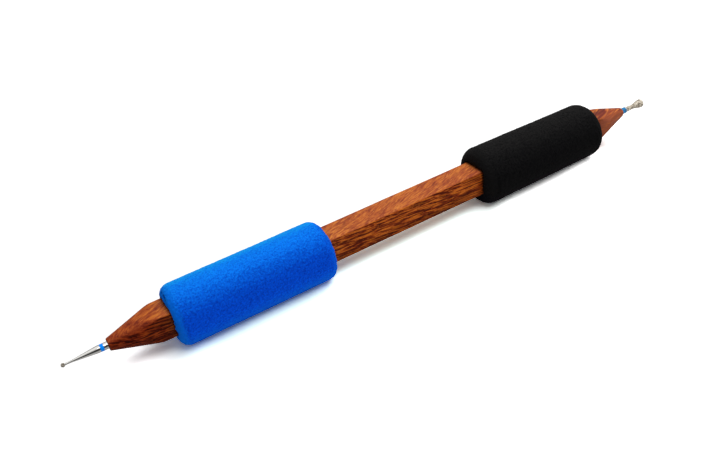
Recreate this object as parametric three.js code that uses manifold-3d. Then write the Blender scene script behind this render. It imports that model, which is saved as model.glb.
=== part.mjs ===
// A double-ended sgraffito tool: a square hardwood handle with two foam grips pushed onto it, and a
// diamond-plated bur glued into each tapered end. Millimetres, +Z up, +X along the handle from the
// ball bur to the flared bur. The origin is under the middle of the whole tool, on the surface that
// the grips rest on.
import * as THREE from "three";
import { mergeVertices } from "three/addons/utils/BufferGeometryUtils.js";
import Module from "manifold-3d";

const wasm = await Module();
wasm.setup();

// Handle. A tip margin is from the shank out to the cone, at the wood's tip face.
const HANDLE_LENGTH = 211.25; // wood, from tip face to tip face
const HANDLE_SIDE = 9.7;
const HANDLE_EDGE_RADIUS = 0.75;
const TAPER_BLEND = 0.35; // how softly a taper runs into the flat faces
const BALL_END = { taper: 16.5, tipMargin: 0.83, tipEdgeRadius: 0.3 };
const FLARED_END = { taper: 16.6, tipMargin: 0.5, tipEdgeRadius: 0.5 };

// Foam grips. The setback is from the inner end of the nearer taper, the diameters are those of
// the -X and +X ends, and the drop is how low the foam sits on the wood.
const BLUE_GRIP = {
  length: 56.1,
  setback: 3.25,
  diameters: [20.9, 20.9],
  drop: 0.55,
  endRadius: 3.6,
  lipRadius: 0.5,
};
const BLACK_GRIP = {
  length: 54.9,
  setback: 1.3,
  diameters: [21.7, 20.7],
  drop: 0.15,
  endRadius: 4.2,
  lipRadius: 1.3,
};
const GRIP_CLEARANCE = 0.3; // between the wood and the foam
const GRIP_FLAT_DEPTH = 0.5; // how far the foam gives where it rests

// Both burs. A band's start is from the wood's tip face, and the collar is the stretch of full
// shank beyond the band.
const SHANK_DIAMETER = 2.35;
const SHANK_SEAT = 20; // how far a shank goes into the wood
const SHANK_CHAMFER = 0.25;
const ADHESIVE_THICKNESS = 0.1; // round a shank
const ADHESIVE_PLUG = 0.6; // beyond a shank's inner end
const ADHESIVE_RECESS = 0.1; // below the wood's tip face
const BAND_DEPTH = 0.15; // of the groove under a painted band
const GRIT_THICKNESS = 0.12; // the plating on a bur's head
const FIT_CLEARANCE = 0.02; // between glued, painted or plated faces
const BALL_BAND = { start: 1.35, width: 1.1, collar: 0.85 };
const FLARED_BAND = { start: 0.2, width: 1.9, collar: 0.25 };

// Ball bur, from the collar outwards
const BALL_NECK_TAPER = 8.1;
const BALL_NECK_STRAIGHT = 1.8; // up to the near side of the ball
const BALL_NECK_DIAMETER = 0.7;
const BALL_DIAMETER = 1.3;

// Flared bur: [distance from the collar, diameter] along its plated neck and head
const FLARED_HEAD = [
  [0.5, 1.96],
  [1.45, 1.9],
  [2.45, 1.82],
  [3.45, 1.72],
  [4.35, 1.86],
  [5.35, 2.36],
  [6.35, 2.86],
  [7.35, 3.22],
  [7.95, 3.3],
];
const FLARED_END_RADIUS = 0.75;

// How finely round forms are cut
const GRIP_SEGMENTS = 64;
const BUR_SEGMENTS = 24;
const GRIP_ARC_STEPS = 8;
const BUR_ARC_STEPS = 6;
const EDGE_STEPS = 5;
const FLAT_STEPS = 9;
const TAPER_STEPS = 16;
const HEAD_STEPS = 14;
const MERGE_DISTANCE = 1e-4;
const CUT_OVERRUN = 1; // how far a cutter runs out past the face that it opens

// Where things meet
const BALL_COLLAR_END = collarEnd(BALL_BAND);
const BALL_CENTRE =
  BALL_COLLAR_END + BALL_NECK_TAPER + BALL_NECK_STRAIGHT + BALL_DIAMETER / 2;
const BALL_REACH = BALL_CENTRE + BALL_DIAMETER / 2;
const FLARED_COLLAR_END = collarEnd(FLARED_BAND);
const FLARED_REACH = FLARED_COLLAR_END + FLARED_HEAD.at(-1)[0] + FLARED_END_RADIUS;
const BALL_TIP_X = (BALL_REACH - FLARED_REACH - HANDLE_LENGTH) / 2;
const FLARED_TIP_X = BALL_TIP_X + HANDLE_LENGTH;
const AXIS_HEIGHT = Math.max(gripDepth(BLUE_GRIP), gripDepth(BLACK_GRIP)) - GRIP_FLAT_DEPTH;
const SHANK_RADIUS = SHANK_DIAMETER / 2;
const BORE_RADIUS = SHANK_RADIUS + ADHESIVE_THICKNESS + 2 * FIT_CLEARANCE;
const BORE_DEPTH = SHANK_SEAT + ADHESIVE_PLUG + 2 * FIT_CLEARANCE;

function collarEnd({ start, width, collar }) {
  return start + width + collar;
}

// From the wood's axis down to the underside of the round foam.
function gripDepth({ diameters, drop }) {
  return Math.max(...diameters) / 2 + drop;
}

// Boolean cuts

function solidOf(geometry) {
  const bare = geometry.clone();
  bare.deleteAttribute("normal");
  bare.deleteAttribute("uv");
  const merged = mergeVertices(bare, MERGE_DISTANCE);
  return new wasm.Manifold(
    new wasm.Mesh({
      numProp: 3,
      vertProperties: merged.attributes.position.array,
      triVerts: new Uint32Array(merged.index.array),
    }),
  );
}

function geometryOf(solid) {
  const mesh = solid.getMesh();
  const geometry = new THREE.BufferGeometry();
  geometry.setAttribute("position", new THREE.BufferAttribute(mesh.vertProperties, 3));
  geometry.setIndex(new THREE.BufferAttribute(mesh.triVerts, 1));
  geometry.computeVertexNormals();
  return geometry;
}

function cut(geometry, ...cutters) {
  let solid = solidOf(geometry);
  for (const cutter of cutters) {
    solid = solid.subtract(solidOf(cutter));
  }
  return geometryOf(solid);
}

// Outlines and profiles

// A profile of [distance along X, radius] pairs, turned round the X axis.
function turned(profile, segments) {
  const points = profile.map(([x, radius]) => new THREE.Vector2(radius, x));
  return new THREE.LatheGeometry(points, segments).rotateZ(-Math.PI / 2);
}

// Points of an arc round [x, radius], both ends included. Angles are in degrees from +X.
function arc(x, radius, size, from, to, steps = BUR_ARC_STEPS) {
  const points = [];
  for (let i = 0; i <= steps; i++) {
    const angle = THREE.MathUtils.degToRad(from + ((to - from) * i) / steps);
    points.push([x + size * Math.cos(angle), radius + size * Math.sin(angle)]);
  }
  return points;
}

// The outline of a square with rounded corners, as [y, z] pairs, anticlockwise seen from +X.
function roundedSquare(side, radius) {
  const points = [];
  const straight = side / 2 - radius;
  for (let corner = 0; corner < 4; corner++) {
    const turn = (corner * Math.PI) / 2;
    const place = (y, z) => {
      const turnedY = y * Math.cos(turn) - z * Math.sin(turn);
      const turnedZ = y * Math.sin(turn) + z * Math.cos(turn);
      points.push([turnedY, turnedZ]);
    };
    for (let i = 0; i < FLAT_STEPS; i++) {
      place(side / 2, straight * (-1 + (2 * i) / FLAT_STEPS));
    }
    for (let i = 0; i < EDGE_STEPS; i++) {
      const angle = (i / EDGE_STEPS) * (Math.PI / 2);
      place(straight + radius * Math.cos(angle), straight + radius * Math.sin(angle));
    }
  }
  return points;
}

// One closed body through outlines of equal length, each at its own x, in the order of rising x.
function loft(sections) {
  const count = sections[0].outline.length;
  const positions = [];
  const triangles = [];
  for (const { x, outline } of sections) {
    for (const [y, z] of outline) {
      positions.push(x, y, z);
    }
  }
  for (let s = 0; s + 1 < sections.length; s++) {
    for (let i = 0; i < count; i++) {
      const a = s * count + i;
      const b = s * count + ((i + 1) % count);
      triangles.push(a, b, a + count, b, b + count, a + count);
    }
  }
  const firstCentre = sections.length * count;
  const lastRing = firstCentre - count;
  positions.push(sections[0].x, 0, 0);
  positions.push(sections.at(-1).x, 0, 0);
  for (let i = 0; i < count; i++) {
    const next = (i + 1) % count;
    triangles.push(firstCentre, next, i);
    triangles.push(firstCentre + 1, lastRing + i, lastRing + next);
  }
  const geometry = new THREE.BufferGeometry();
  geometry.setAttribute("position", new THREE.Float32BufferAttribute(positions, 3));
  geometry.setIndex(triangles);
  return geometry;
}

// Handle

// The smaller of two radii, with the crease between them softened.
function softMinimum(a, b) {
  const overlap = Math.max(1 - Math.abs(a - b) / TAPER_BLEND, 0);
  return Math.min(a, b) - (overlap * overlap * TAPER_BLEND) / 4;
}

// Sections of one tapered end, tip face first. The square is trimmed to a cone, as a stick is in a
// sharpener, so the flats run out in curves.
function taperSections(tipX, direction, { taper, tipMargin, tipEdgeRadius }, square) {
  const fullRadius = Math.max(...square.map(([y, z]) => Math.hypot(y, z))) + TAPER_BLEND;
  const tipRadius = SHANK_RADIUS + tipMargin;
  const slope = (fullRadius - tipRadius) / taper;
  const edge = tipEdgeRadius;
  const stations = arc(edge, 0, edge, 180, 90, EDGE_STEPS).map(([inward, rise]) => {
    return { inward, radius: tipRadius + slope * inward - edge + rise };
  });
  for (let i = 1; i <= TAPER_STEPS; i++) {
    const inward = edge + ((taper - edge) * i) / TAPER_STEPS;
    stations.push({ inward, radius: tipRadius + slope * inward });
  }
  return stations.map(({ inward, radius }) => {
    const outline = square.map(([y, z]) => {
      const size = Math.hypot(y, z);
      const trimmed = softMinimum(size, radius);
      return [(y * trimmed) / size, (z * trimmed) / size];
    });
    return { x: tipX + direction * inward, outline };
  });
}

// The blind hole for one bur, running out past the tip face.
function boreCutter(tipX, direction) {
  const profile = [
    [-CUT_OVERRUN, 0],
    [-CUT_OVERRUN, BORE_RADIUS],
    [BORE_DEPTH, BORE_RADIUS],
    [BORE_DEPTH, 0],
  ];
  return placed(turned(profile, BUR_SEGMENTS), tipX, direction);
}

function handleGeometry() {
  const square = roundedSquare(HANDLE_SIDE, HANDLE_EDGE_RADIUS);
  const ballEnd = taperSections(BALL_TIP_X, 1, BALL_END, square);
  const flaredEnd = taperSections(FLARED_TIP_X, -1, FLARED_END, square).reverse();
  const wood = loft([...ballEnd, ...flaredEnd]);
  return cut(wood, boreCutter(BALL_TIP_X, 1), boreCutter(FLARED_TIP_X, -1));
}

// A turned form whose profile starts at x = 0, moved to x, facing along +X or -X.
function placed(geometry, x, direction) {
  if (direction < 0) {
    geometry.rotateZ(Math.PI);
  }
  return geometry.translate(x, 0, 0);
}

// Grips

// What is cut out of a sleeve for the handle, with the bore's edge rounded at both ends.
function gripBore({ length, lipRadius }) {
  const lip = arc(lipRadius, lipRadius, lipRadius, 180, 270, EDGE_STEPS);
  const start = [[-CUT_OVERRUN, lipRadius], ...lip];
  const end = start.map(([x, grow]) => [length - x, grow]).reverse();
  const sections = [...start, ...end].map(([x, grow]) => {
    const gap = GRIP_CLEARANCE + grow;
    return { x, outline: roundedSquare(HANDLE_SIDE + 2 * gap, HANDLE_EDGE_RADIUS + gap) };
  });
  return loft(sections);
}

// A round sleeve, set low on the wood and flat underneath.
function gripGeometry(grip) {
  const { length, diameters, drop, endRadius } = grip;
  const [start, end] = diameters.map((diameter) => {
    const centre = diameter / 2 - endRadius;
    return [[0, 0], ...arc(endRadius, centre, endRadius, 180, 90, GRIP_ARC_STEPS)];
  });
  const mirroredEnd = end.map(([x, radius]) => [length - x, radius]).reverse();
  const sleeve = turned([...start, ...mirroredEnd], GRIP_SEGMENTS);
  const widest = Math.max(...diameters);
  sleeve.translate(0, 0, -drop);
  const surface = new THREE.BoxGeometry(2 * length, widest, widest);
  surface.translate(length / 2, 0, -AXIS_HEIGHT - widest / 2);
  return cut(sleeve, gripBore(grip), surface);
}

// Burs: each profile runs outwards from the wood's tip face, towards +X

// From the inner end of a shank to the far side of its painted band's groove.
function shankProfile(band) {
  const groove = SHANK_RADIUS - BAND_DEPTH;
  return [
    [-SHANK_SEAT, 0],
    [-SHANK_SEAT, SHANK_RADIUS - SHANK_CHAMFER],
    [-SHANK_SEAT + SHANK_CHAMFER, SHANK_RADIUS],
    [band.start, SHANK_RADIUS],
    [band.start, groove],
    [band.start + band.width, groove],
    [band.start + band.width, SHANK_RADIUS],
  ];
}

function bandGeometry(band) {
  const outer = SHANK_RADIUS - FIT_CLEARANCE;
  const inner = SHANK_RADIUS - BAND_DEPTH + FIT_CLEARANCE;
  const near = band.start + FIT_CLEARANCE;
  const far = band.start + band.width - FIT_CLEARANCE;
  const profile = [
    [near, inner],
    [near, outer],
    [far, outer],
    [far, inner],
    [near, inner],
  ];
  return turned(profile, BUR_SEGMENTS);
}

// The glue between a shank and its hole: a cup with the shank in it.
function adhesiveGeometry() {
  const outer = BORE_RADIUS - FIT_CLEARANCE;
  const inner = SHANK_RADIUS + FIT_CLEARANCE;
  const bottom = -BORE_DEPTH + FIT_CLEARANCE;
  const profile = [
    [bottom, 0],
    [bottom, outer],
    [-ADHESIVE_RECESS, outer],
    [-ADHESIVE_RECESS, inner],
    [-SHANK_SEAT - FIT_CLEARANCE, inner],
    [-SHANK_SEAT - FIT_CLEARANCE, 0],
  ];
  return turned(profile, BUR_SEGMENTS);
}

// Where a ball of this size reaches the given radius on its near side, in degrees from +X.
function angleOf(radius, size) {
  return 180 - THREE.MathUtils.radToDeg(Math.asin(radius / size));
}

function ballShankGeometry() {
  const neck = BALL_NECK_DIAMETER / 2;
  const core = BALL_DIAMETER / 2 - GRIT_THICKNESS - FIT_CLEARANCE;
  const profile = [
    ...shankProfile(BALL_BAND),
    [BALL_COLLAR_END, SHANK_RADIUS],
    [BALL_COLLAR_END + BALL_NECK_TAPER, neck],
    ...arc(BALL_CENTRE, 0, core, angleOf(neck, core), 0),
  ];
  return turned(profile, BUR_SEGMENTS);
}

// The plating on the ball: a shell that is open where the neck comes in.
function ballGritGeometry() {
  const opening = BALL_NECK_DIAMETER / 2 + FIT_CLEARANCE;
  const outer = BALL_DIAMETER / 2;
  const inner = outer - GRIT_THICKNESS;
  const profile = [
    ...arc(BALL_CENTRE, 0, inner, 0, angleOf(opening, inner)),
    ...arc(BALL_CENTRE, 0, outer, angleOf(opening, outer), 0),
  ];
  return turned(profile, BUR_SEGMENTS);
}

// The flared neck and head less a skin: the side as a smooth curve, then the rounded end.
function flaredOutline(skin) {
  const knots = FLARED_HEAD.map(([x, diameter]) => {
    return new THREE.Vector2(FLARED_COLLAR_END + x, diameter / 2 - skin);
  });
  const side = new THREE.SplineCurve(knots).getPoints(HEAD_STEPS).map(({ x, y }) => [x, y]);
  const [roundStart, widest] = side.at(-1);
  const round = FLARED_END_RADIUS - skin;
  const end = arc(roundStart, widest - round, round, 90, 0).slice(1);
  return [...side, ...end, [roundStart + round, 0]];
}

function flaredShankGeometry() {
  const profile = [
    ...shankProfile(FLARED_BAND),
    [FLARED_COLLAR_END, SHANK_RADIUS],
    ...flaredOutline(GRIT_THICKNESS + FIT_CLEARANCE),
  ];
  return turned(profile, BUR_SEGMENTS);
}

function flaredGritGeometry() {
  const outer = flaredOutline(0);
  const inner = flaredOutline(GRIT_THICKNESS);
  return turned([...outer, ...inner.reverse(), outer[0]], BUR_SEGMENTS);
}

// The whole tool

const MATERIALS = {
  wood: { color: 0x9c4f28, roughness: 0.5, metalness: 0 },
  blueFoam: { color: 0x0a6be0, roughness: 0.9, metalness: 0 },
  blackFoam: { color: 0x161616, roughness: 0.95, metalness: 0 },
  steel: { color: 0xc9c6c0, roughness: 0.25, metalness: 1 },
  grit: { color: 0xa89f8f, roughness: 0.7, metalness: 0.4 },
  ballBand: { color: 0x1496f0, roughness: 0.4, metalness: 0 },
  flaredBand: { color: 0x1f72b0, roughness: 0.4, metalness: 0 },
  adhesive: { color: 0xd9c79a, roughness: 0.3, metalness: 0 },
};

function piece(name, geometry, look) {
  const mesh = new THREE.Mesh(geometry, new THREE.MeshStandardMaterial(MATERIALS[look]));
  mesh.name = name;
  return mesh;
}

function bur(name, tipX, direction, shank, grit, band, bandLook) {
  const pieces = [
    piece(`${name}_shank`, shank, "steel"),
    piece(`${name}_grit`, grit, "grit"),
    piece(`${name}_band`, bandGeometry(band), bandLook),
    piece(`${name}_adhesive`, adhesiveGeometry(), "adhesive"),
  ];
  for (const { geometry } of pieces) {
    placed(geometry, tipX, direction);
  }
  return pieces;
}

const tool = new THREE.Group();
tool.add(piece("handle", handleGeometry(), "wood"));

const blueGrip = piece("blue_grip", gripGeometry(BLUE_GRIP), "blueFoam");
blueGrip.position.x = BALL_TIP_X + BALL_END.taper + BLUE_GRIP.setback;
tool.add(blueGrip);

const blackGrip = piece("black_grip", gripGeometry(BLACK_GRIP), "blackFoam");
blackGrip.position.x =
  FLARED_TIP_X - FLARED_END.taper - BLACK_GRIP.setback - BLACK_GRIP.length;
tool.add(blackGrip);

tool.add(
  ...bur(
    "ball_bur",
    BALL_TIP_X,
    -1,
    ballShankGeometry(),
    ballGritGeometry(),
    BALL_BAND,
    "ballBand",
  ),
  ...bur(
    "flared_bur",
    FLARED_TIP_X,
    1,
    flaredShankGeometry(),
    flaredGritGeometry(),
    FLARED_BAND,
    "flaredBand",
  ),
);
tool.position.z = AXIS_HEIGHT;

export default tool;
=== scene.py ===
"""A double-ended sgraffito tool: a square hardwood handle, two foam grips and two diamond burs.

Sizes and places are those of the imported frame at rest, in millimetres. They are turned into metres
where a mesh is made. X runs along the handle, from the ball bur to the flared bur, and Z is up.
"""

import math

import bpy
import numpy as np
from mathutils import Matrix, Vector


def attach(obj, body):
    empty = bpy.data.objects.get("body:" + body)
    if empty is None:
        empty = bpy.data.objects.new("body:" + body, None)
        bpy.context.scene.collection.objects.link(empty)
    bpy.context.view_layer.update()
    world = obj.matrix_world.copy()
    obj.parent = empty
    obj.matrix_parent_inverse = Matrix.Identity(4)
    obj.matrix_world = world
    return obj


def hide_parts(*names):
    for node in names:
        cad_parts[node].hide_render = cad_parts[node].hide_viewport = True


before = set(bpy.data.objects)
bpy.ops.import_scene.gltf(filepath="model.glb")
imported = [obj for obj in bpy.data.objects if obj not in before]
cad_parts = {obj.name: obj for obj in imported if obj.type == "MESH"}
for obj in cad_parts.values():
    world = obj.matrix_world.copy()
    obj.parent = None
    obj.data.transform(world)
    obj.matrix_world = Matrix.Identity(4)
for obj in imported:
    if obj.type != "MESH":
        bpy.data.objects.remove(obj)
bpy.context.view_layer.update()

MM = 0.001

# Handle. A taper's margin is the wood round the shank at its tip, and its edge is the tip's rounding
AXIS_HEIGHT = 10.5
HANDLE_SIDE = 9.7
HANDLE_EDGE_RADIUS = 0.75
HANDLE_FLAT_STEPS = 18
HANDLE_EDGE_STEPS = 14
# The wear's lumps are drawn out along the stick, because only this share of X counts in them
HANDLE_WEAR = {"size": 2.2, "height": 0.02, "seed": 5, "share": 0.2}
TAPER_BLEND = 0.35
TAPER_RINGS = 48
MIDDLE_RINGS = 240
BALL_TIP = -103.9
FLARED_TIP = 107.35
BALL_TAPER = {"length": 16.5, "margin": 0.83, "edge": 0.3}
FLARED_TAPER = {"length": 16.6, "margin": 0.5, "edge": 0.5}
BORE_RADIUS = 1.315
BORE_DEPTH = 20.64
BORE_MOUTH = {"depth": 0.1, "flare": 0.08}
BORE_CENTRE = 0.02

# Grips. Pairs are for the first and the last end. The drop is how far the foam's middle hangs below
# the tool's axis. A lip is the rounding at the hole: its mean size and what it gains towards the
# top. Fray is how rough the ends are round the hole. Each tear of the first end is its Y and Z
# from the tool's axis, its size and its depth
BLUE_GRIP = {
    "ends": (-84.15, -28.05),
    "diameters": (20.9, 20.9),
    "drop": 0.55,
    "round": (3.6, 3.6),
    "lip": ((0.85, 0.1), (0.6, 0.0)),
    "seed": 11,
    "fray": 0.3,
    "tears": [
        (2.35, 7.55, 0.45, 1.5),
        (0.2, 7.75, 0.4, 1.5),
        (-0.4, 7.6, 0.45, 1.6),
        (-1.0, 7.4, 0.45, 1.6),
        (-1.6, 7.0, 0.4, 1.2),
        (5.5, 5.3, 0.55, 0.9),
        (-3.2, 6.5, 0.4, 0.5),
        (-6.3, 1.8, 0.45, 0.6),
        (-5.9, -0.9, 0.45, -0.35),
        (-5.6, -3.3, 0.45, 0.6),
        (-6.2, -4.6, 0.5, -0.35),
    ],
}
BLACK_GRIP = {
    "ends": (34.55, 89.45),
    "diameters": (21.7, 20.7),
    "drop": 0.15,
    "round": (4.2, 3.8),
    "lip": ((0.85, 0.8), (0.8, 0.0)),
    "seed": 23,
    "fray": 0.1,
    "tears": [],
}
FOAM_GAP = 0.15
FOAM_CELL = 0.22
# Size and height of the foam's lumps, from the swell of the whole tube to its pebbled skin
FOAM_LUMPS = [(14, 0.08), (5.5, 0.03), (0.58, 0.08), (1.5, 0.015)]
HOLE_SIDE = HANDLE_SIDE + 2 * FOAM_GAP
HOLE_CORNER = HANDLE_EDGE_RADIUS + FOAM_GAP
HOLE_RINGS = 30
END_RINGS = 46
END_BLEND = 0.3
SKIN_REACH = 0.6
FRAY_REACH = 0.8
FRAY_SIZE = 1.0
FRAY_SEED = 7
TEAR_REACH = 2.5
DEEP_TEAR = 1.0
# How much painted shade a grip's hole gets, less its share of skin
CREVICE_SHADE_LEVEL = 1.1

# Burs. Their places are measured outwards from the tip of the wood
SHANK_RADIUS = 1.175
SHANK_SEAT = 20.0
SHANK_CHAMFER = 0.25
SHANK_SEGMENTS = 64
BAND_DEPTH = 0.15
BAND_GAP = 0.01
GROOVE_EDGE = 0.03
BAND_EDGE = 0.04
GRIT = 0.12
PLATING_GAP = 0.02
COLLAR_EDGE = 0.03
BALL_BAND = {"start": 1.35, "width": 1.1, "collar": 0.85}
FLARED_BAND = {"start": 0.2, "width": 1.9, "collar": 0.25}
NECK_TAPER = 8.1
NECK_STRAIGHT = 1.8
NECK_RADIUS = 0.35
NECK_RINGS = 24
BALL_RADIUS = 0.65
BALL_SEGMENTS = 96
BALL_END_ANGLE = 3
# Grains of the platings. They are lowered by the sunk part of their height
FINE_SHARE = 0.5
BALL_GRAINS = {"coarse": 0.22, "fine": 0.12, "height": 0.05, "sunk": 0.35, "seed": 31}
# The flared head from its collar on: how far out, and its diameter there
FLARED_HEAD = [
    (0.2, 2.1),
    (0.5, 1.96),
    (1.45, 1.9),
    (2.45, 1.82),
    (3.45, 1.72),
    (4.35, 1.86),
    (5.35, 2.36),
    (6.35, 2.86),
    (7.35, 3.22),
    (7.95, 3.3),
]
FLARED_END_RADIUS = 0.75
FLARED_CENTRE = 0.08
FLARED_STEPS = 8
HEAD_SEGMENTS = 120
HEAD_GRAINS = {"coarse": 0.25, "fine": 0.13, "height": 0.045, "sunk": 0.3, "seed": 41}

# Colours of the wood, in linear light
WOOD_TONES = [
    (0.20, (0.085, 0.012, 0.004)),
    (0.38, (0.180, 0.025, 0.005)),
    (0.52, (0.325, 0.060, 0.009)),
    (0.64, (0.450, 0.108, 0.014)),
    (0.82, (0.650, 0.205, 0.026)),
]
DARK_LINE = (0.085, 0.012, 0.004)
GOLD_LINE = (0.680, 0.220, 0.012)
PORE = (0.130, 0.022, 0.006)
FLECK = (0.720, 0.240, 0.050)
# Painted sheen that pales the top faces
PAINTED_TOP_SHEEN = (0.60, 0.60, 0.75)
# Painted highlight along the stick's rounded edges
PAINTED_EDGE_HIGHLIGHT = (0.520, 0.110, 0.012)
END_STRIPE = (0.180, 0.032, 0.020)
# Painted light on the lower faces of the far taper
PAINTED_END_LIGHT = (0.480, 0.140, 0.060)
CLOSE_SHADE = (0.006, 0.002, 0.001)

# Colours of the foams, painted light and shade: how far up a face looks, the colour of its pits,
# painted darker as shade, and the colour of its skin. Over 1 it leans back as well as up
BLUE_LIT_TONES = [
    (-0.50, (0.0, 0.062, 0.880), (0.0, 0.160, 1.000)),
    (-0.15, (0.0, 0.040, 0.600), (0.0, 0.108, 1.000)),
    (0.10, (0.0, 0.032, 0.480), (0.0, 0.086, 0.860)),
    (0.45, (0.0, 0.033, 0.420), (0.0, 0.085, 0.760)),
    (0.77, (0.0003, 0.062, 0.530), (0.0015, 0.145, 0.850)),
    (0.95, (0.0008, 0.102, 0.680), (0.0035, 0.225, 1.000)),
    (1.08, (0.0012, 0.135, 0.740), (0.004, 0.285, 1.000)),
    (1.30, (0.0030, 0.210, 0.850), (0.008, 0.420, 1.000)),
]
BLACK_LIT_TONES = [
    (-0.50, (0.0002, 0.0002, 0.0002), (0.0030, 0.0029, 0.0028)),
    (0.35, (0.0002, 0.0002, 0.0002), (0.0036, 0.0035, 0.0034)),
    (0.77, (0.0004, 0.0004, 0.0004), (0.0070, 0.0068, 0.0065)),
    (0.95, (0.0008, 0.0008, 0.0008), (0.0115, 0.0111, 0.0106)),
]
# How far a face looks up, over the range of the foams' painted light and shade
FOAM_LIT_RANGE = (-1.0, 1.5)
FOAM_CREVICE_SHADE = (0.0, 0.0002, 0.004)

GRIT_TONES = [
    (0.12, (0.10, 0.08, 0.06)),
    (0.32, (0.28, 0.235, 0.18)),
    (0.55, (0.50, 0.44, 0.35)),
    (0.85, (0.80, 0.74, 0.62)),
]


# Noise on points


def lattice(cell, seed):
    """A number from 0 to 1 for each whole-numbered cell."""
    h = cell[..., 0] * 374761393 + cell[..., 1] * 668265263 + cell[..., 2] * 2147483647
    h = (h + seed * 144665) & 0xFFFFFFFF
    h = ((h ^ (h >> 13)) * 1274126177) & 0xFFFFFFFF
    h = ((h ^ (h >> 16)) * 2246822519) & 0xFFFFFFFF
    return ((h ^ (h >> 15)) & 0xFFFFFF) / float(0xFFFFFF)


def lumps(points, size, seed):
    """Smooth noise from -1 to 1 at each point, with lumps of about that size."""
    p = np.asarray(points, float) / size + 1000.0
    cell = np.floor(p).astype(np.int64)
    f = p - cell
    w = f * f * f * (f * (f * 6 - 15) + 10)
    total = np.zeros(p.shape[:-1])
    for dx in (0, 1):
        for dy in (0, 1):
            for dz in (0, 1):
                corner = lattice(cell + np.array([dx, dy, dz]), seed)
                weight = (
                    (w[..., 0] if dx else 1 - w[..., 0])
                    * (w[..., 1] if dy else 1 - w[..., 1])
                    * (w[..., 2] if dz else 1 - w[..., 2])
                )
                total += corner * weight
    return total * 2 - 1


# Meshes


def mesh_piece(name, points, faces, material):
    """A smooth-shaded piece from points in millimetres."""
    mesh = bpy.data.meshes.new(name)
    mesh.from_pydata((np.asarray(points, float) * MM).tolist(), [], faces)
    mesh.validate()
    mesh.update()
    mesh.polygons.foreach_set("use_smooth", [True] * len(mesh.polygons))
    mesh.materials.append(material)
    piece = bpy.data.objects.new(name, mesh)
    bpy.context.scene.collection.objects.link(piece)
    return piece


def ring_faces(rings, count, closed):
    """Quads between rings of count points each, and from the last ring to the first if closed."""
    faces = []
    for r in range(rings if closed else rings - 1):
        a = r * count
        b = ((r + 1) % rings) * count
        for i in range(count):
            j = (i + 1) % count
            faces.append((a + i, a + j, b + j, b + i))
    return faces


def close_ends(points, faces, xs, rings, count):
    """Closes the first and the last ring, each with a fan round a point on the axis, at those xs."""
    for last, x in enumerate(xs):
        centre = len(points)
        points.append([x, 0, AXIS_HEIGHT])
        first = (rings - 1) * count if last else 0
        for i in range(count):
            a = first + i
            b = first + (i + 1) % count
            faces.append((centre, a, b) if last else (centre, b, a))


def normals_of(grid, closed):
    """The outward direction at each point of a grid of rings."""
    if closed:
        along = np.roll(grid, -1, 0) - np.roll(grid, 1, 0)
    else:
        along = np.gradient(grid, axis=0)
    around = np.roll(grid, -1, 1) - np.roll(grid, 1, 1)
    n = np.cross(around, along)
    return n / np.maximum(np.linalg.norm(n, axis=-1, keepdims=True), 1e-9)


def arc(x, r, size, start, end, steps):
    """Points (x, radius) of an arc, both ends included. Angles are in degrees from +X."""
    angles = np.radians(np.linspace(start, end, steps + 1))
    return [(x + size * math.cos(a), r + size * math.sin(a)) for a in angles]


def grid_round_axis(xs, radii, angles):
    """Rings of points round the tool's axis. radii has a row for each x, or a row of numbers."""
    radii = np.asarray(radii, float).reshape(len(xs), -1) * np.ones(len(angles))
    across = np.asarray(xs, float)[:, None] * np.ones(len(angles))
    return np.stack([across, radii * np.cos(angles), radii * np.sin(angles)], -1)


def turned(name, profile, segments, material, closed=False, change=None):
    """A profile of (x, radius) pairs turned round the tool's axis. Its first and last points lie on
    the axis unless it is closed."""
    body = profile if closed else profile[1:-1]
    angles = np.linspace(0, 2 * math.pi, segments, endpoint=False)
    grid = grid_round_axis([x for x, _ in body], [r for _, r in body], angles)
    if change is not None:
        grid = change(grid)
    grid[..., 2] += AXIS_HEIGHT
    points = grid.reshape(-1, 3).tolist()
    faces = ring_faces(len(body), segments, closed)
    if not closed:
        close_ends(points, faces, (profile[0][0], profile[-1][0]), len(body), segments)
    if profile_runs_back(profile, closed):
        faces = [tuple(reversed(f)) for f in faces]
    return mesh_piece(name, points, faces, material)


def profile_runs_back(profile, closed):
    """True where the faces made from a profile would look inwards."""
    if closed:
        xs, rs = np.array(profile, float).T
        return np.sum(xs * np.roll(rs, -1) - np.roll(xs, -1) * rs) > 0
    return profile[-1][0] < profile[0][0]


def crisp(piece, degrees):
    """Keeps creases sharper than this angle sharp."""
    limit = math.radians(degrees)
    mesh = piece.data
    faces_at = {}
    for polygon in mesh.polygons:
        for key in polygon.edge_keys:
            faces_at.setdefault(key, []).append(polygon.normal.copy())
    for edge in mesh.edges:
        sides = faces_at.get(tuple(sorted(edge.vertices)), [])
        if len(sides) == 2 and sides[0].angle(sides[1], 0) > limit:
            edge.use_edge_sharp = True


# Node trees


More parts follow.
